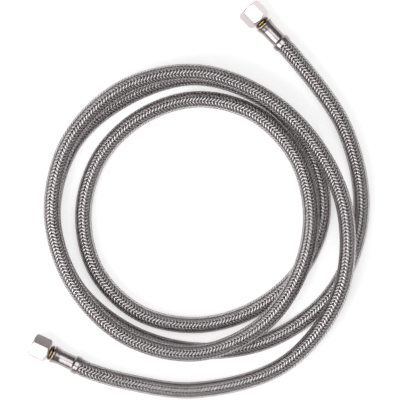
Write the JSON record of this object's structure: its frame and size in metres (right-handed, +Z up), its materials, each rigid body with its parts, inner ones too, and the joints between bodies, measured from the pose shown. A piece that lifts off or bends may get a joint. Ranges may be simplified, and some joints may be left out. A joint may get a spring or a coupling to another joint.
{
  "type": "icemaker supply hose",
  "caption": "Flexible water supply hose with a woven steel sleeve, lying in a loose coil, with a crimped ferrule and a hexagonal swivel nut at each end.",
  "frame": {"origin": "middle of the floor area that the lying coil covers, at floor level", "axes": "+Z up out of the coil, +Y towards the end whose nut lies farthest out, +X to the right seen from above"},
  "size_m": [0.2001, 0.2331, 0.0207],
  "materials": {
    "braid": "bright woven stainless wire",
    "liner": "smooth dark tube",
    "nickel": "bright nickel plate",
    "brass": "turned brass",
    "rubber": "matte black",
    "steel": "satin stainless"
  },
  "bodies": {
    "hose": {"braid_sleeve": "braid", "inner_tube": "liner", "inlet_stem": "brass", "inlet_cone_washer": "rubber", "inlet_ferrule": "steel", "outlet_stem": "brass", "outlet_cone_washer": "rubber", "outlet_ferrule": "steel"},
    "inlet_swivel": {"inlet_nut": "nickel"},
    "outlet_swivel": {"outlet_nut": "nickel"}
  },
  "joints": [
    {"name": "inlet_nut_swivel", "type": "hinge", "parent": "hose", "child": "inlet_swivel", "pos_m": [-0.08915, -0.08817, 0.00711], "axis": [-0.9026, 0.4305, 0], "continuous": true},
    {"name": "outlet_nut_swivel", "type": "hinge", "parent": "hose", "child": "outlet_swivel", "pos_m": [0.03477, 0.10568, 0.00635], "axis": [-0.6947, 0.7193, 0], "continuous": true}
  ]
}
